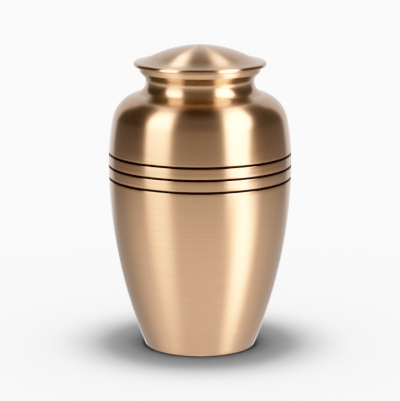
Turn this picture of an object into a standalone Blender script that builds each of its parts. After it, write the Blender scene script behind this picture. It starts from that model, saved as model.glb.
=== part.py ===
"""Cremation urn: a turned brass vessel with three cut grooves, and a low domed lid.

Sizes are in metres and +Z is up. The urn stands on z = 0, with its axis on the Z axis.
Each piece is an outline of (radius, height) points that is turned about that axis.
"""

import math

import bpy
from mathutils import Vector

# Vessel, outside, from the foot up
FOOT_RADIUS = 0.0470
BELLY_RADIUS = 0.0781
BELLY_HEIGHT = 0.1588
FLANK_RISE = 0.0377  # from the widest line up to the start of the shoulder
FLANK_INSET = 0.0036  # how far the flank leans in over that rise
SHOULDER_ROUND = 0.0280
NECK_RADIUS = 0.0463
NECK_ROUND = 0.0106
LIP_OVERHANG = 0.0062  # the top of the lip band stands this far outside the neck
LIP_RISE = 0.0088  # from the narrowest line of the neck up to the lip band
LIP_SLOPE = math.radians(40)  # how far the side below the lip band leans out
LIP_HEIGHT = 0.0046
LIP_FLARE = 0.0011  # how much wider the lip band is at its top than at its bottom
LIP_CORNER_ROUND = 0.0030

# Vessel, walls and foot
WALL = 0.0020
BASE_THICKNESS = 0.0025
FLOOR_ROUND = 0.0060
FOOT_EDGE_ROUND = 0.0010
FOOT_RING_WIDTH = 0.0080
RECESS_DEPTH = 0.0012
RECESS_SLOPE = 0.0010  # how far the recess narrows over its depth
LIP_EDGE_ROUND = 0.0005

# Grooves around the belly
GROOVE_COUNT = 3
GROOVE_SPACING = 0.0104
GROOVE_WIDTH = 0.0020
GROOVE_DEPTH = 0.0008
GROOVE_DRAFT = 0.0003  # how far each side of a groove leans in towards its floor
GROOVE_DROP = 0.0013  # the middle groove lies this far below the widest line

# Lid
SEAT_GAP = 0.0003
RIM_OVERHANG = 0.0039  # the rim stands this far outside the lip band
RIM_THICKNESS = 0.0031
RIM_EDGE_ROUND = 0.0007
BRIM_WIDTH = 0.0161
BRIM_DROP = 0.0049
DOME_RISE = 0.0091
LID_WALL = 0.0020
SKIRT_CLEARANCE = 0.0003
SKIRT_DEPTH = 0.0090
SKIRT_WALL = 0.0018
SKIRT_EDGE_ROUND = 0.0005

# Facets
SEGMENTS = 48  # around the axis
ROUND_STEPS = 2  # along a rounded edge
FLANK_STEP = 0.0180  # along the flank, outside
INNER_STEP = 0.0260  # along the flank, inside

BRASS_COLOUR = (0.52, 0.31, 0.19, 1.0)
LID_COLOUR = (0.50, 0.31, 0.21, 1.0)
BRASS_ROUGHNESS = 0.32

UP = Vector((0.0, 1.0))
OUTWARD = Vector((1.0, 0.0))


class Arc:
    """A circular arc in the plane of an outline, about a centre from one point to another."""

    def __init__(self, centre, start, end):
        self.centre = centre
        self.radius = (start - centre).length
        self.angle = math.atan2(start.y - centre.y, start.x - centre.x)
        turn = math.atan2(end.y - centre.y, end.x - centre.x) - self.angle
        self.sweep = (turn + math.pi) % (2 * math.pi) - math.pi

    def point(self, share, offset=0.0):
        """The point at a share of the sweep, moved out from the centre by the offset."""
        angle = self.angle + self.sweep * share
        return self.centre + Vector((math.cos(angle), math.sin(angle))) * (self.radius + offset)

    def points(self, steps, offset=0.0):
        """Points from the start to the end of the arc, both included."""
        return [self.point(step / steps, offset) for step in range(steps + 1)]

    def radius_at(self, height, offset=0.0):
        """How far from the urn's axis the outer side of the arc's circle is at a height."""
        rise = height - self.centre.y
        return self.centre.x + math.sqrt((self.radius + offset) ** 2 - rise ** 2)

    def height_at(self, radius, offset=0.0):
        """How high the upper side of the arc's circle is at a distance from the urn's axis."""
        run = radius - self.centre.x
        return self.centre.y + math.sqrt((self.radius + offset) ** 2 - run ** 2)


def arc_leaving(start, heading, end):
    """The arc that leaves the start along the heading and reaches the end."""
    side = heading.orthogonal()
    chord = end - start
    centre = start + side * (chord.length_squared / (2 * chord.dot(side)))
    return Arc(centre, start, end)


def spaced(low, high, step):
    """Evenly spaced values from low to high, both included, no further apart than the step."""
    count = max(1, math.ceil(abs(high - low) / step))
    return [low + (high - low) * index / count for index in range(count + 1)]


def softened(corners):
    """The outline of (point, rounding) corners, with an arc at each corner that has a rounding."""
    outline = []
    for index, (point, rounding) in enumerate(corners):
        if not rounding:
            outline.append(point)
            continue
        back = (corners[index - 1][0] - point).normalized()
        ahead = (corners[index + 1][0] - point).normalized()
        half = back.angle(ahead) / 2
        reach = rounding / math.tan(half)
        centre = point + (back + ahead).normalized() * (rounding / math.sin(half))
        outline += Arc(centre, point + back * reach, point + ahead * reach).points(ROUND_STEPS)
    return outline


def plain(points):
    """The points as corners without a rounding."""
    return [(point, 0.0) for point in points]


# The vessel's outer curves, which its inner wall, the grooves and the lid are set from
belly = Vector((BELLY_RADIUS, BELLY_HEIGHT))
lower_flank = arc_leaving(belly, -UP, Vector((FOOT_RADIUS, 0.0)))
shoulder_start = belly + Vector((-FLANK_INSET, FLANK_RISE))
upper_flank = arc_leaving(belly, UP, shoulder_start)

inward = (upper_flank.centre - shoulder_start).normalized()
shoulder_centre = shoulder_start + inward * SHOULDER_ROUND
cove_radius = NECK_RADIUS + NECK_ROUND
cove_reach = SHOULDER_ROUND + NECK_ROUND
cove_rise = math.sqrt(cove_reach ** 2 - (cove_radius - shoulder_centre.x) ** 2)
cove_centre = Vector((cove_radius, shoulder_centre.y + cove_rise))
shoulder_end = shoulder_centre.lerp(cove_centre, SHOULDER_ROUND / cove_reach)
neck = Vector((NECK_RADIUS, cove_centre.y))
shoulder = Arc(shoulder_centre, shoulder_start, shoulder_end)
lower_cove = Arc(cove_centre, shoulder_end, neck)

lip_radius = NECK_RADIUS + LIP_OVERHANG
lip_bottom = Vector((lip_radius - LIP_FLARE, neck.y + LIP_RISE))
lip_top = lip_bottom + Vector((LIP_FLARE, LIP_HEIGHT))
lip_run = (lip_bottom.x - neck.x) / math.tan(LIP_SLOPE)
upper_round = (LIP_RISE - lip_run) / math.tan(LIP_SLOPE / 2)
upper_centre = neck + OUTWARD * upper_round
slope_start = upper_centre + Vector((-math.cos(LIP_SLOPE), math.sin(LIP_SLOPE))) * upper_round
upper_cove = Arc(upper_centre, neck, slope_start)
bore_radius = NECK_RADIUS - WALL


def flank_radius(height, offset=0.0):
    """The radius of the flank at a height, outside, or inside with the wall as a minus offset."""
    side = upper_flank if height >= BELLY_HEIGHT else lower_flank
    return side.radius_at(height, offset)


def flank_with_grooves():
    """The outside of the flank from the start of the shoulder down to just above the foot."""
    middle = (GROOVE_COUNT - 1) / 2
    points = []
    height = shoulder_start.y
    for index in range(GROOVE_COUNT):
        centre = BELLY_HEIGHT - GROOVE_DROP + (middle - index) * GROOVE_SPACING
        top = centre + GROOVE_WIDTH / 2
        bottom = centre - GROOVE_WIDTH / 2
        points += [Vector((flank_radius(z), z)) for z in spaced(height, top, FLANK_STEP)]
        for z in (top - GROOVE_DRAFT, bottom + GROOVE_DRAFT):
            points.append(Vector((flank_radius(z) - GROOVE_DEPTH, z)))
        height = bottom
    points += [Vector((flank_radius(z), z)) for z in spaced(height, 0.0, FLANK_STEP)[:-1]]
    return points


def vessel_outline():
    """From the middle of the floor up the inside, over the lip, down the outside to the foot."""
    floor = RECESS_DEPTH + BASE_THICKNESS
    inside_heights = spaced(floor, BELLY_HEIGHT, INNER_STEP)
    inside_heights += spaced(BELLY_HEIGHT, shoulder_start.y, INNER_STEP)[1:-1]
    ring_inside = FOOT_RADIUS - FOOT_RING_WIDTH
    corners = [(Vector((0.0, floor)), 0.0)]
    corners.append((Vector((flank_radius(floor, -WALL), floor)), FLOOR_ROUND))
    corners += plain(Vector((flank_radius(z, -WALL), z)) for z in inside_heights[1:])
    corners += plain(shoulder.points(5, -WALL))
    corners += plain(lower_cove.points(3, WALL)[1:])
    corners.append((Vector((bore_radius, lip_top.y)), LIP_EDGE_ROUND))
    corners.append((lip_top, LIP_EDGE_ROUND))
    corners.append((lip_bottom, LIP_CORNER_ROUND))
    corners += plain(reversed(upper_cove.points(3)))
    corners += plain(reversed(lower_cove.points(5)[:-1]))
    corners += plain(reversed(shoulder.points(8)[1:-1]))
    corners += plain(flank_with_grooves())
    corners.append((Vector((FOOT_RADIUS, 0.0)), FOOT_EDGE_ROUND))
    corners += plain([
        Vector((ring_inside, 0.0)),
        Vector((ring_inside - RECESS_SLOPE, RECESS_DEPTH)),
        Vector((0.0, RECESS_DEPTH)),
    ])
    return softened(corners)


def lid_outline():
    """From the top of the dome down to the rim, then back underneath. The seat is at height 0."""
    rim_radius = lip_radius + RIM_OVERHANG
    rim_top = Vector((rim_radius, RIM_THICKNESS))
    dome_edge = rim_top + Vector((-BRIM_WIDTH, BRIM_DROP))
    top = Vector((0.0, dome_edge.y + DOME_RISE))
    dome = arc_leaving(top, OUTWARD, dome_edge)
    slope = (dome_edge - dome.centre).normalized()
    brim = arc_leaving(dome_edge, Vector((slope.y, -slope.x)), rim_top)
    skirt_radius = bore_radius - SKIRT_CLEARANCE
    skirt_inside = skirt_radius - SKIRT_WALL
    ceiling = Arc(
        dome.centre,
        Vector((skirt_inside, dome.height_at(skirt_inside, -LID_WALL))),
        top - UP * LID_WALL,
    )
    corners = plain(dome.points(7)[:-1] + brim.points(5)[:-1])
    corners.append((rim_top, RIM_EDGE_ROUND))
    corners.append((Vector((rim_radius, 0.0)), RIM_EDGE_ROUND))
    corners += plain([Vector((skirt_radius, 0.0))])
    corners.append((Vector((skirt_radius, -SKIRT_DEPTH)), SKIRT_EDGE_ROUND))
    corners.append((Vector((skirt_inside, -SKIRT_DEPTH)), SKIRT_EDGE_ROUND))
    corners += plain(ceiling.points(4))
    return softened(corners)


def metal(name, colour, roughness):
    """A plain metal material."""
    material = bpy.data.materials.new(name)
    material.use_nodes = True
    shader = material.node_tree.nodes["Principled BSDF"]
    shader.inputs["Base Color"].default_value = colour
    shader.inputs["Metallic"].default_value = 1.0
    shader.inputs["Roughness"].default_value = roughness
    return material


def turned(name, outline, material, parent, collection):
    """The solid that an outline makes when it is turned about the Z axis."""
    mesh = bpy.data.meshes.new(name)
    edges = [(index, index + 1) for index in range(len(outline) - 1)]
    mesh.from_pydata([(point.x, 0.0, point.y) for point in outline], edges, [])
    mesh.materials.append(material)
    piece = bpy.data.objects.new(name, mesh)
    collection.objects.link(piece)
    piece.parent = parent
    screw = piece.modifiers.new("Turn", "SCREW")
    screw.axis = "Z"
    screw.angle = 2 * math.pi
    screw.steps = SEGMENTS
    screw.render_steps = SEGMENTS
    screw.use_merge_vertices = True
    screw.merge_threshold = 0.00001
    screw.use_smooth_shade = True
    return piece


def main():
    for leftover in list(bpy.data.objects):
        bpy.data.objects.remove(leftover, do_unlink=True)
    collection = bpy.data.collections.new("cremation_urn")
    bpy.context.scene.collection.children.link(collection)
    urn = bpy.data.objects.new("cremation_urn", None)
    collection.objects.link(urn)

    brass = metal("brushed_brass", BRASS_COLOUR, BRASS_ROUGHNESS)
    lid_brass = metal("brushed_brass_lid", LID_COLOUR, BRASS_ROUGHNESS)
    turned("urn_body", vessel_outline(), brass, urn, collection)
    lid = turned("lid", lid_outline(), lid_brass, urn, collection)
    lid.location.z = lip_top.y + SEAT_GAP


main()
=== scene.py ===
"""Cremation urn: a brushed brass vessel with black grooves and a low domed lid, in a studio."""

import math

import bmesh
import bpy
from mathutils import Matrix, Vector


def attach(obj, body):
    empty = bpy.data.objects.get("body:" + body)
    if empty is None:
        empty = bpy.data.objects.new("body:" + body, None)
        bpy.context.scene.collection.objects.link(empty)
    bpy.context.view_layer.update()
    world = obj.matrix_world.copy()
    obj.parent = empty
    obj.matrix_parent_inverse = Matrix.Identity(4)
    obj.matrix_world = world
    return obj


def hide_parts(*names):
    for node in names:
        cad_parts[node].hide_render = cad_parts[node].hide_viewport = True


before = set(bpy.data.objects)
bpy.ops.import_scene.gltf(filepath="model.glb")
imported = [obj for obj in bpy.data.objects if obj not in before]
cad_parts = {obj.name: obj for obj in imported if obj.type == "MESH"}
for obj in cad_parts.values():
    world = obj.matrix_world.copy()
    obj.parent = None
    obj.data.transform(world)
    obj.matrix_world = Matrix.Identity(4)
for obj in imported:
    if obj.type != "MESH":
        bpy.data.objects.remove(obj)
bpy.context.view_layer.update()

# Sizes of the turned outlines, as in the solids: in metres, apart from the count of the grooves
# and the slope under the lip, which is an angle
FOOT_RADIUS = 0.0470
BELLY_RADIUS = 0.0781
BELLY_HEIGHT = 0.1588
FLANK_RISE = 0.0377
FLANK_INSET = 0.0036
SHOULDER_ROUND = 0.0280
NECK_RADIUS = 0.0463
NECK_ROUND = 0.0106
LIP_OVERHANG = 0.0062
LIP_RISE = 0.0088
LIP_SLOPE = math.radians(40)
LIP_HEIGHT = 0.0046
LIP_FLARE = 0.0011
LIP_CORNER_ROUND = 0.0030
LIP_EDGE_ROUND = 0.0005
WALL = 0.0020
BASE_THICKNESS = 0.0025
FLOOR_ROUND = 0.0060
FOOT_EDGE_ROUND = 0.0010
FOOT_RING_WIDTH = 0.0080
RECESS_DEPTH = 0.0012
RECESS_SLOPE = 0.0010
GROOVE_COUNT = 3
GROOVE_SPACING = 0.0104
GROOVE_WIDTH = 0.0020
GROOVE_DEPTH = 0.0008
GROOVE_DRAFT = 0.0003
GROOVE_DROP = 0.0013
SEAT_GAP = 0.0003
RIM_OVERHANG = 0.0039
RIM_THICKNESS = 0.0031
RIM_EDGE_ROUND = 0.0007
BRIM_WIDTH = 0.0161
BRIM_DROP = 0.0049
DOME_RISE = 0.0091
LID_WALL = 0.0020
SKIRT_CLEARANCE = 0.0003
SKIRT_DEPTH = 0.0090
SKIRT_WALL = 0.0018
SKIRT_EDGE_ROUND = 0.0005

# Roundings that are too fine for the solids, or larger here than in them
GROOVE_EDGE_ROUND = 0.00022
GROOVE_LIP_ROUND = 0.00070
RIM_TOP_ROUND = 0.0023

# Fineness of the turned surfaces
SIDES = 192
ROUND_STEPS = 6
FLANK_STEP = 0.0030
INNER_STEP = 0.0060
SHOULDER_STEPS = 36
LOWER_COVE_STEPS = 20
UPPER_COVE_STEPS = 14
INNER_SHOULDER_STEPS = 14
INNER_COVE_STEPS = 8
DOME_STEPS = 30
CEILING_STEPS = 16

# The angle from which an edge is sharp, and the radius below which a point is on the axis
SHARP_ANGLE = math.radians(35)
ON_AXIS = 1e-9

# Rings that the lathe left on the brim, which end this many roundings away from the rim's top
RING_COUNT = 11
RING_HEIGHT = 0.000006
STEPS_PER_RING = 8
RINGS_END = 1.1

# Height of the middle groove, and how deep in a groove the black paint starts
GROOVES_MIDDLE = BELLY_HEIGHT - GROOVE_DROP
PAINT_DEPTH = 0.00010

# Lines of the brushing: the length and width in metres, and the detail
HAIRLINES = (0.030, 0.00035, 3.0)
STREAKS = (0.045, 0.0012, 2.0)
BANDS = (0.200, 0.0060, 2.0)
TOOLING = (0.400, 0.0009, 1.0)

# Clouds to the metre: those in the brass, the marks of handling, and the wear of the paint
CLOUDS = 38.0
MARKS = 210.0
WEAR = 260.0

# The brass: its colour, its colour where it has been handled, the depth and direction of the
# brushing, and the roughness of the lacquer
BRASS = (0.79, 0.465, 0.27)
HANDLED_BRASS = (0.74, 0.49, 0.33, 1.0)
BRUSHING_DEPTH = 0.000003
QUARTER_TURN = 0.25
LACQUER_ROUGHNESS = 0.16

# Each piece's roughness and how strongly its brushing draws light out
VESSEL_BRUSHING = (0.262, 0.78)
LID_BRUSHING = (0.250, 0.87)

# The paint in the grooves, and its colour where it is worn
BLACK_PAINT = (0.030, 0.008, 0.004, 1.0)
WORN_PAINT = (0.080, 0.026, 0.012, 1.0)

WHITE = (1.0, 1.0, 1.0, 1.0)

# Photograph's frame, in pixels, the lens that was fitted to it, and where it was taken from
PICTURE_HEIGHT = 401
FOCAL_PIXELS = 2155.5
SENSOR = 36.0
FARTHEST = 100.0
EYE = (0.0, -1.8099, 0.4977)
EYE_ANGLE = math.radians(90.0 - 11.63)

# The picture's tone: amounts of light and how bright each shows, up to the light that shows white
TONE_WHITE = 2.0
TONE_STOPS = ((0.02, 0.003), (0.06, 0.034), (0.30, 0.293), (0.90, 0.779), (1.30, 0.940))

# The pale floor: how bright it is in the open, the share of that which doesn't come from the lamps,
# and the radii under the foot's edge and beside it between which that share sets in, so that a
# painted shadow darkens the floor round the foot
FLOOR_SIZE = 60.0
FLOOR_GLOW = 1.36
FLOOR_FILL = 0.085
FLOOR_COLOUR = 0.9
PAINTED_SHADOW_INNER = FOOT_RADIUS - 0.001
PAINTED_SHADOW_OUTER = FOOT_RADIUS + 0.005

# Two round lamps above the urn, each with its radius and its share of the light
LAMP_HEIGHT = 0.72
LAMPS = ((0.09, 0.52), (0.28, 0.48))

# The studio's light: the room low down and high up, each arch near its front and further back,
# the pale screen behind the urn and the strip above it
ROOM_LIGHT = (0.33, 0.18)
LEFT_ARCH_LIGHT = (3.35, 1.30)
RIGHT_ARCH_LIGHT = (3.80, 2.10)
SCREEN_LIGHT = 0.65
STRIP_LIGHT = 0.46

# Colours of the studio's light where the metal mirrors it a second time, and a further time
TWICE_MIRRORED = (0.68, 0.92, 1.05, 1.0)
THRICE_MIRRORED = (0.62, 0.98, 1.30, 1.0)

# Degrees in one radian
DEGREE = math.degrees(1.0)

UP = Vector((0.0, 1.0))
OUTWARD = Vector((1.0, 0.0))


class Arc:
    """A circular arc in the plane of an outline, about a centre from one point to another."""

    def __init__(self, centre, start, end):
        self.centre = centre
        self.radius = (start - centre).length
        self.angle = math.atan2(start.y - centre.y, start.x - centre.x)
        turn = math.atan2(end.y - centre.y, end.x - centre.x) - self.angle
        self.sweep = (turn + math.pi) % (2 * math.pi) - math.pi

    def point(self, share, offset=0.0):
        """The point at a share of the sweep, moved out from the centre by the offset."""
        angle = self.angle + self.sweep * share
        return self.centre + Vector((math.cos(angle), math.sin(angle))) * (self.radius + offset)

    def points(self, steps, offset=0.0):
        """Points from the start to the end of the arc, both included."""
        return [self.point(step / steps, offset) for step in range(steps + 1)]

    def radius_at(self, height, offset=0.0):
        """How far from the urn's axis the outer side of the arc's circle is at a height."""
        rise = height - self.centre.y
        return self.centre.x + math.sqrt((self.radius + offset) ** 2 - rise ** 2)

    def height_at(self, radius, offset=0.0):
        """How high the upper side of the arc's circle is at a distance from the urn's axis."""
        run = radius - self.centre.x
        return self.centre.y + math.sqrt((self.radius + offset) ** 2 - run ** 2)


def arc_leaving(start, heading, end):
    """The arc that leaves the start along the heading and reaches the end."""
    side = heading.orthogonal()
    chord = end - start
    return Arc(start + side * (chord.length_squared / (2 * chord.dot(side))), start, end)


def spaced(low, high, step):
    """Evenly spaced values from low to high, both included, no further apart than the step."""
    count = max(1, math.ceil(abs(high - low) / step))
    return [low + (high - low) * index / count for index in range(count + 1)]


def softened(corners):
    """The outline of (point, rounding) corners, with an arc at each corner that has a rounding."""
    outline = []
    for index, (point, rounding) in enumerate(corners):
        if not rounding:
            outline.append(point)
            continue
        back = (corners[index - 1][0] - point).normalized()
        ahead = (corners[index + 1][0] - point).normalized()
        half = back.angle(ahead) / 2
        reach = rounding / math.tan(half)
        centre = point + (back + ahead).normalized() * (rounding / math.sin(half))
        outline += Arc(centre, point + back * reach, point + ahead * reach).points(ROUND_STEPS)
    return outline


def plain(points):
    """The points as corners without a rounding."""
    return [(point, 0.0) for point in points]


# The vessel's outer curves
belly = Vector((BELLY_RADIUS, BELLY_HEIGHT))
lower_flank = arc_leaving(belly, -UP, Vector((FOOT_RADIUS, 0.0)))
shoulder_start = belly + Vector((-FLANK_INSET, FLANK_RISE))
upper_flank = arc_leaving(belly, UP, shoulder_start)
inward = (upper_flank.centre - shoulder_start).normalized()
shoulder_centre = shoulder_start + inward * SHOULDER_ROUND
cove_radius = NECK_RADIUS + NECK_ROUND
cove_reach = SHOULDER_ROUND + NECK_ROUND
cove_rise = math.sqrt(cove_reach ** 2 - (cove_radius - shoulder_centre.x) ** 2)
cove_centre = Vector((cove_radius, shoulder_centre.y + cove_rise))
shoulder_end = shoulder_centre.lerp(cove_centre, SHOULDER_ROUND / cove_reach)
neck = Vector((NECK_RADIUS, cove_centre.y))
shoulder = Arc(shoulder_centre, shoulder_start, shoulder_end)
lower_cove = Arc(cove_centre, shoulder_end, neck)
lip_radius = NECK_RADIUS + LIP_OVERHANG
lip_bottom = Vector((lip_radius - LIP_FLARE, neck.y + LIP_RISE))
lip_top = lip_bottom + Vector((LIP_FLARE, LIP_HEIGHT))
lip_run = (lip_bottom.x - neck.x) / math.tan(LIP_SLOPE)
upper_round = (LIP_RISE - lip_run) / math.tan(LIP_SLOPE / 2)
upper_centre = neck + OUTWARD * upper_round
slope_start = upper_centre + Vector((-math.cos(LIP_SLOPE), math.sin(LIP_SLOPE))) * upper_round
upper_cove = Arc(upper_centre, neck, slope_start)
bore_radius = NECK_RADIUS - WALL
rim_radius = lip_radius + RIM_OVERHANG
seat_height = lip_top.y + SEAT_GAP


def flank_radius(height, offset=0.0):
    """The radius of the flank at a height, outside, or inside with the wall as a minus offset."""
    side = upper_flank if height >= BELLY_HEIGHT else lower_flank
    return side.radius_at(height, offset)


def flank_with_grooves():
    """Corners of the flank from the start of the shoulder down to just above the foot."""
    middle = (GROOVE_COUNT - 1) / 2
    corners = []
    height = shoulder_start.y
    for index in range(GROOVE_COUNT):
        centre = GROOVES_MIDDLE + (middle - index) * GROOVE_SPACING
        top = centre + GROOVE_WIDTH / 2
        bottom = centre - GROOVE_WIDTH / 2
        heights = spaced(height, top, FLANK_STEP)
        corners += plain(Vector((flank_radius(z), z)) for z in heights[1:-1])
        corners.append((Vector((flank_radius(top), top)), GROOVE_LIP_ROUND))
        for z in (top - GROOVE_DRAFT, bottom + GROOVE_DRAFT):
            corners.append((Vector((flank_radius(z) - GROOVE_DEPTH, z)), GROOVE_EDGE_ROUND))
        corners.append((Vector((flank_radius(bottom), bottom)), GROOVE_LIP_ROUND))
        height = bottom
    heights = spaced(height, 0.0, FLANK_STEP)
    corners += plain(Vector((flank_radius(z), z)) for z in heights[1:-1])
    return corners


def vessel_outline():
    """From the middle of the floor up the inside, over the lip, down the outside to the foot."""
    floor = RECESS_DEPTH + BASE_THICKNESS
    above_rounding = floor + FLOOR_ROUND * 1.5
    inside_heights = spaced(above_rounding, BELLY_HEIGHT, INNER_STEP)
    inside_heights += spaced(BELLY_HEIGHT, shoulder_start.y, INNER_STEP)[1:-1]
    ring_inside = FOOT_RADIUS - FOOT_RING_WIDTH
    corners = [(Vector((0.0, floor)), 0.0)]
    corners.append((Vector((flank_radius(floor, -WALL), floor)), FLOOR_ROUND))
    corners += plain(Vector((flank_radius(z, -WALL), z)) for z in inside_heights)
    corners += plain(shoulder.points(INNER_SHOULDER_STEPS, -WALL))
    corners += plain(lower_cove.points(INNER_COVE_STEPS, WALL)[1:])
    corners.append((Vector((bore_radius, lip_top.y)), LIP_EDGE_ROUND))
    corners.append((lip_top, LIP_EDGE_ROUND))
    corners.append((lip_bottom, LIP_CORNER_ROUND))
    corners += plain(reversed(upper_cove.points(UPPER_COVE_STEPS)))
    corners += plain(reversed(lower_cove.points(LOWER_COVE_STEPS)[:-1]))
    corners += plain(reversed(shoulder.points(SHOULDER_STEPS)[:-1]))
    corners += flank_with_grooves()
    corners.append((Vector((FOOT_RADIUS, 0.0)), FOOT_EDGE_ROUND))
    corners += plain([
        Vector((ring_inside, 0.0)),
        Vector((ring_inside - RECESS_SLOPE, RECESS_DEPTH)),
        Vector((0.0, RECESS_DEPTH)),
    ])
    return softened(corners)


def lid_outline():
    """From the top of the dome down to the rim, then back underneath."""
    rim_top = Vector((rim_radius, RIM_THICKNESS))
    dome_edge = rim_top + Vector((-BRIM_WIDTH, BRIM_DROP))
    top = Vector((0.0, dome_edge.y + DOME_RISE))
    dome = arc_leaving(top, OUTWARD, dome_edge)
    slope = (dome_edge - dome.centre).normalized()
    brim = arc_leaving(dome_edge, Vector((slope.y, -slope.x)), rim_top)
    skirt_radius = bore_radius - SKIRT_CLEARANCE
    skirt_inside = skirt_radius - SKIRT_WALL
    ceiling = Arc(
        dome.centre,
        Vector((skirt_inside, dome.height_at(skirt_inside, -LID_WALL))),
        top - UP * LID_WALL,
    )
    rings = []
    for step in range(RING_COUNT * STEPS_PER_RING):
        wave = math.sin(2 * math.pi * step / STEPS_PER_RING)
        point = brim.point(step / (RING_COUNT * STEPS_PER_RING), wave * RING_HEIGHT)
        if (rim_top - point).length > RIM_TOP_ROUND * RINGS_END:
            rings.append(point)
    corners = plain(dome.points(DOME_STEPS)[:-1] + rings)
    corners.append((rim_top, RIM_TOP_ROUND))
    corners.append((Vector((rim_radius, 0.0)), RIM_EDGE_ROUND))
    corners += plain([Vector((skirt_radius, 0.0))])
    corners.append((Vector((skirt_radius, -SKIRT_DEPTH)), SKIRT_EDGE_ROUND))
    corners.append((Vector((skirt_inside, -SKIRT_DEPTH)), SKIRT_EDGE_ROUND))
    corners += plain(ceiling.points(CEILING_STEPS))
    return [point + UP * seat_height for point in softened(corners)]


class Field:
    """A value that changes over a surface or with a direction, on which arithmetic adds nodes."""

    def __init__(self, recipe, socket):
        self.recipe = recipe
        self.socket = socket

    def math(self, operation, *others):
        """The result of a Math node that has this value first."""
        return self.recipe.node("Math", {"operation": operation}, dict(enumerate([self, *others])))

    def __add__(self, other):
        return self.math("ADD", other)

    def __sub__(self, other):
        return self.math("SUBTRACT", other)

    def __rsub__(self, other):
        return self.recipe.node("Math", {"operation": "SUBTRACT"}, {0: other, 1: self})

    def __mul__(self, other):
        return self.math("MULTIPLY", other)

    def __truediv__(self, other):
        return self.math("DIVIDE", other)

    def __rtruediv__(self, other):
        return self.recipe.node("Math", {"operation": "DIVIDE"}, {0: other, 1: self})

    def __pow__(self, other):
        return self.math("POWER", other)

    def __abs__(self):
        return self.math("ABSOLUTE")

    __radd__ = __add__
    __rmul__ = __mul__

    def ramp(self, start, end, low=0.0, high=1.0):
        """Low up to the start, high from the end on, and a smooth change between them."""
        return self.recipe.node(
            "MapRange",
            {"interpolation_type": "SMOOTHSTEP"},
            {"Value": self, "From Min": start, "From Max": end, "To Min": low, "To Max": high},
        )

    def toward(self, other, share):
        """This value where the share is 0, the other where it is 1."""
        return self + (other - self) * share


class Recipe:
    """The node tree of one finish."""

    def __init__(self, tree):
        self.tree = tree
        tree.nodes.clear()

    def node(self, kind, settings=None, sockets=None, output=0):
        """Adds a node of a kind with its settings and its sockets' values or links."""
        made = self.tree.nodes.new("ShaderNode" + kind)
        for name, value in (settings or {}).items():
            setattr(made, name, value)
        for name, value in (sockets or {}).items():
            if isinstance(value, Field):
                self.tree.links.new(value.socket, made.inputs[name])
            else:
                made.inputs[name].default_value = value
        return Field(self, made.outputs[output]) if made.outputs else made

    def axes(self, vector):
        """The three parts of a vector."""
        return [self.node("SeparateXYZ", sockets={"Vector": vector}, output=axis) for axis in "XYZ"]

    def noise(self, place, detail):
        """Soft cloudy values around 0.5, one cloud to each unit of the place."""
        sockets = {"Vector": place, "Scale": 1.0, "Detail": detail, "Roughness": 0.5}
        return self.node("TexNoise", {"noise_dimensions": "3D"}, sockets)

    def clouds(self, place, to_the_metre, detail):
        """Soft cloudy values around 0.5, with this many clouds to the metre."""
        sockets = {0: place, "Scale": to_the_metre}
        return self.noise(self.node("VectorMath", {"operation": "SCALE"}, sockets), detail)

    def blend(self, low, high, share):
        """One colour where the share is 0, the other where it is 1."""
        sockets = {"Factor": share, "A": low, "B": high}
        return self.node("Mix", {"data_type": "RGBA"}, sockets, output="Result")


def finish(name):
    """A new material and the empty recipe for it."""
    material = bpy.data.materials.new(name)
    material.use_nodes = True
    return material, Recipe(material.node_tree)


def shade(colour, factor):
    """A colour made lighter or darker, with its alpha."""
    return (*(part * factor for part in colour), 1.0)


def brass(name, smoothness, drawing):
    """Lacquered brass brushed around the axis, which draws light out along the height."""
    material, recipe = finish(name)
    place = recipe.node("TexCoord", output="Object")
    x, y, z = recipe.axes(place)
    radius = (x * x + y * y) ** 0.5
    down = z - radius

    def drawn(length, width, detail):
        """Noise drawn out around the axis into lines of this length and width in metres."""
        sockets = {"X": x / length, "Y": y / length, "Z": down / width}
        return recipe.noise(recipe.node("CombineXYZ", sockets=sockets), detail)

    # Lines of the brushing, the lathe's coarser lines round the grooves, and marks of handling
    hairlines = drawn(*HAIRLINES)
    streaks = drawn(*STREAKS)
    bands = drawn(*BANDS)
    near_grooves = abs(z - GROOVES_MIDDLE).ramp(0.013, 0.020, 1.0, 0.15)
    tooling = (drawn(*TOOLING) - 0.5) * near_grooves
    clouds = recipe.clouds(place, CLOUDS, 4.0)
    handled = clouds.ramp(0.50, 0.70) * recipe.clouds(place, MARKS, 3.0).ramp(0.42, 0.78)

    lightness = 0.5 + (streaks - 0.5) * 0.70 + (bands - 0.5) * 0.35
    lightness = lightness + (clouds - 0.5) * 0.25 + tooling * 4.0
    brushed = recipe.blend(shade(BRASS, 0.91), shade(BRASS, 1.07), lightness)
    bump = recipe.node("Bump", sockets={
        "Height": hairlines + streaks * 0.5,
        "Distance": BRUSHING_DEPTH,
        "Strength": 1.0,
    })
    shader = recipe.node("BsdfPrincipled", sockets={
        "Base Color": recipe.blend(brushed, HANDLED_BRASS, handled * 0.10),
        "Metallic": 1.0,
        "Roughness": smoothness + (streaks - 0.5) * 0.03 + (bands - 0.5) * 0.02 + handled * 0.004,
        "Anisotropic": drawing,
        "Anisotropic Rotation": QUARTER_TURN,
        "Coat Weight": 1.0,
        "Coat Roughness": LACQUER_ROUGHNESS,
        "Normal": bump,
    })
    recipe.node("OutputMaterial", sockets={"Surface": shader})
    return material


def groove_black():
    """Black paint in the grooves, thinner and browner in places."""
    material, recipe = finish("groove_black")
    place = recipe.node("TexCoord", output="Object")
    worn = recipe.clouds(place, WEAR, 4.0).ramp(0.45, 0.75)
    shader = recipe.node("BsdfPrincipled", sockets={
        "Base Color": recipe.blend(BLACK_PAINT, WORN_PAINT, worn),
        "Roughness": 0.55 + worn * 0.2,
        "Specular IOR Level": 0.12,
        "Coat Weight": 0.20,
        "Coat Roughness": 0.30,
    })
    recipe.node("OutputMaterial", sockets={"Surface": shader})
    return material


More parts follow.
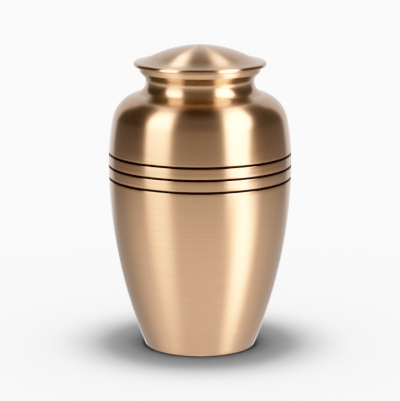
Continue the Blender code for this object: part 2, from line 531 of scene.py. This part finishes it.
def in_groove(point):
    """Whether a point of the outline lies in the painted part of a groove."""
    near_grooves = abs(point.y - BELLY_HEIGHT) < GROOVE_COUNT * GROOVE_SPACING
    outside = point.x > BELLY_RADIUS - WALL
    return near_grooves and outside and flank_radius(point.y) - point.x > PAINT_DEPTH


def ring_of_points(shape, point):
    """The vertices that a point of the outline makes when it is turned, or one on the axis."""
    if point.x < ON_AXIS:
        return [shape.verts.new((0.0, 0.0, point.y))] * SIDES
    turns = [2 * math.pi * side / SIDES for side in range(SIDES)]
    places = [(math.cos(turn) * point.x, math.sin(turn) * point.x, point.y) for turn in turns]
    return [shape.verts.new(place) for place in places]


def turned(name, outline, materials, node):
    """The outline turned about the Z axis, as the piece that stands for a node."""
    shape = bmesh.new()
    rings = [ring_of_points(shape, point) for point in outline]
    for index, (low, high) in enumerate(zip(rings, rings[1:])):
        painted = in_groove((outline[index] + outline[index + 1]) / 2)
        for side in range(SIDES):
            other = (side + 1) % SIDES
            loop = [low[side], high[side], high[other], low[other]]
            face = shape.faces.new(list(dict.fromkeys(loop)))
            face.smooth = True
            face.material_index = 1 if painted else 0
    bmesh.ops.recalc_face_normals(shape, faces=shape.faces)
    mesh = bpy.data.meshes.new(name)
    shape.to_mesh(mesh)
    shape.free()
    for material in materials:
        mesh.materials.append(material)
    mesh.set_sharp_from_angle(angle=SHARP_ANGLE)
    piece = bpy.data.objects.new(name, mesh)
    bpy.context.scene.collection.objects.link(piece)
    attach(piece, "root")
    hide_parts(node)
    return piece


def studio():
    """The surroundings that the metal mirrors, by direction, and plain white for the camera.

    Directions are in degrees. The height goes from -90 straight below to 90 overhead. Aside is 0
    from the urn toward the camera, 90 to either side of it and 180 behind it. Right is 0 on the
    left side and 1 on the right, and sky is the height where it is above the level, or else 0.
    """
    world = bpy.data.worlds.new("studio")
    bpy.context.scene.world = world
    world.use_nodes = True
    recipe = Recipe(world.node_tree)
    x, y, z = recipe.axes(recipe.node("TexCoord", output="Generated"))
    height = z.math("ARCSINE") * DEGREE
    turn = x.math("ARCTAN2", y * -1.0) * DEGREE
    aside = abs(turn)
    right = turn.ramp(-8.0, 8.0)
    sky = height.math("MAXIMUM", 0.0)

    # A dim room, dark overhead
    room = height.ramp(2.0, 22.0, *ROOM_LIGHT) + aside.ramp(120.0, 150.0) * 0.15
    room = room * height.ramp(56.0, 76.0, 1.0, 0.25)

    # At each side an arch of light, from beside the camera over the top to behind the urn
    top = aside.ramp(105.0, 150.0, 71.5, 74.5)
    outer = abs((aside - 108.5 + right * 2.0) / (69.0 + right * 3.0)) ** 2.8 + (sky / top) ** 2.8
    left_light = aside.ramp(70.0, 112.0, *LEFT_ARCH_LIGHT) * height.ramp(-8.0, 36.0, 0.46, 1.0)
    right_light = aside.ramp(95.0, 140.0, *RIGHT_ARCH_LIGHT) * height.ramp(-6.0, 18.0, 0.82, 1.0)
    side_light = left_light.toward(right_light, right) * height.ramp(54.0, 72.0, 1.0, 0.62)
    side_light = side_light * aside.ramp(152.0, 166.0, 1.0, 2.60 - right * 1.75)
    arch = room.toward(side_light, outer.ramp(0.84, 1.20, 1.0, 0.0))

    # The dark opening under each arch
    near = 71.5 - right * 9.5 + sky * (0.19 + right * 0.30)
    across = 2.0 * (aside - near) / (155.0 - near) - 1.0
    opening = abs(across) ** 3.0 + (sky / 58.0) ** 3.0
    dark = height.ramp(-14.0, 12.0, 0.22, 0.08) + right * 0.03
    arch = arch.toward(dark, opening.ramp(0.84, 1.18, 1.0, 0.0))

    # A pale screen behind the urn, with a darker strip between its top and the arches
    strip_height = height + aside.ramp(160.0, 170.0) * 9.0
    strip = aside.ramp(140.0, 150.0) * strip_height.ramp(46.0, 50.0, 1.0, 0.0)
    arch = arch.toward(STRIP_LIGHT, strip)
    screen = SCREEN_LIGHT + aside.ramp(164.0, 178.0) * 0.12
    screen = screen + aside.ramp(140.0, 168.0) * height.ramp(-18.0, 10.0, 0.45 - right * 0.15, 0.0)
    walls = arch.toward(screen, aside.ramp(136.0, 142.0) * height.ramp(34.0, 38.0, 1.0, 0.0))

    # A pale ground with a pool of light at each side, brighter straight below and straight behind
    pale = height.ramp(-64.0, -45.0, 0.68, 0.95) * height.ramp(-45.0, -20.0, 1.0, 0.86)
    pale = pale * height.ramp(-82.0, -68.0, 2.0, 1.0)
    behind = aside.ramp(158.0, 172.0) * 0.9
    ground = pale * (aside.ramp(75.0, 130.0, 1.0, 0.50 + right * 0.12) + behind)
    pool = abs(aside - 53.0 - right * 9.5).ramp(3.0, 26.0 - right * 2.0, 1.0, 0.0)
    ground = ground + pool * height.ramp(-60.0, -22.0, 0.0, 0.78 + right * 1.72)
    glow = ground.toward(walls, height.ramp(-17.0, -11.0))

    # What the metal mirrors again in the recess round the neck would be too red, so it is cooler
    depth = recipe.node("LightPath", output="Ray Depth")
    tint = recipe.blend(WHITE, TWICE_MIRRORED, depth.ramp(2.0, 3.0))
    tint = recipe.blend(tint, THRICE_MIRRORED, depth.ramp(3.0, 4.0))

    mirrored = recipe.node("Background", sockets={"Strength": glow, "Color": tint})
    seen = recipe.node("Background", sockets={"Strength": FLOOR_GLOW, "Color": WHITE})
    from_camera = recipe.node("LightPath", output="Is Camera Ray")
    both = recipe.node("MixShader", sockets={0: from_camera, 1: mirrored, 2: seen})
    recipe.node("OutputWorld", sockets={"Surface": both})
    world.cycles_visibility.diffuse = False


def floor():
    """A large pale floor under two round lamps, with a glow that keeps it even further out and is
    left out round the foot as a painted shadow.
    """
    material, recipe = finish("floor")
    x, y, z = recipe.axes(recipe.node("TexCoord", output="Object"))
    from_lamps = FLOOR_GLOW * (1.0 - FLOOR_FILL)
    spread = 1.0 + (x * x + y * y) / LAMP_HEIGHT ** 2
    missing = 1.0 - 1.0 / (spread * spread)
    # Painted shadow: the floor's even glow fades out toward the foot's edge, leaving a dark ring
    # round the foot
    fill_outside_painted_shadow = ((x * x + y * y) ** 0.5).ramp(PAINTED_SHADOW_INNER, PAINTED_SHADOW_OUTER)
    glow = FLOOR_GLOW * FLOOR_FILL * fill_outside_painted_shadow + missing * from_lamps
    lit = recipe.node("BsdfDiffuse", sockets={"Color": shade(WHITE[:3], FLOOR_COLOUR)})
    even = recipe.node("Emission", sockets={"Color": glow})
    shader = recipe.node("AddShader", sockets={0: lit, 1: even})
    recipe.node("OutputMaterial", sockets={"Surface": shader})
    bpy.ops.mesh.primitive_plane_add(size=FLOOR_SIZE)
    ground = bpy.context.object
    ground.name = "floor"
    ground.data.materials.append(material)
    ground.visible_glossy = False
    for radius, share in LAMPS:
        lamp = bpy.data.lights.new("overhead", "AREA")
        lamp.shape = "DISK"
        lamp.size = radius * 2
        lamp.energy = share * from_lamps * (math.pi * LAMP_HEIGHT) ** 2 / FLOOR_COLOUR
        overhead = bpy.data.objects.new("overhead", lamp)
        overhead.location = (0.0, 0.0, LAMP_HEIGHT)
        overhead.visible_glossy = False
        overhead.visible_camera = False
        bpy.context.scene.collection.objects.link(overhead)


def camera():
    """The camera at the photograph's viewing angle."""
    lens = bpy.data.cameras.new("camera")
    lens.sensor_width = SENSOR
    lens.lens = FOCAL_PIXELS / PICTURE_HEIGHT * SENSOR
    lens.clip_end = FARTHEST
    eye = bpy.data.objects.new("camera", lens)
    eye.location = EYE
    eye.rotation_euler = (EYE_ANGLE, 0.0, 0.0)
    bpy.context.scene.collection.objects.link(eye)
    bpy.context.scene.camera = eye


def tone():
    """The picture's tone curve: deep shadows, and highlights that roll off to white."""
    settings = bpy.context.scene.view_settings
    settings.view_transform = "Standard"
    settings.use_curve_mapping = True
    curves = settings.curve_mapping
    curves.white_level = (TONE_WHITE,) * 3
    curves.extend = "HORIZONTAL"
    for light, shown in TONE_STOPS:
        curves.curves[3].points.new(light / TONE_WHITE, shown)
    curves.update()


vessel_brass = brass("brushed_brass", *VESSEL_BRUSHING)
lid_brass = brass("brushed_brass_lid", *LID_BRUSHING)
body = turned("vessel", vessel_outline(), [vessel_brass, groove_black()], "urn_body")
lid = turned("domed_lid", lid_outline(), [lid_brass], "lid")
studio()
floor()
camera()
tone()
bpy.context.scene.cycles.caustics_reflective = False
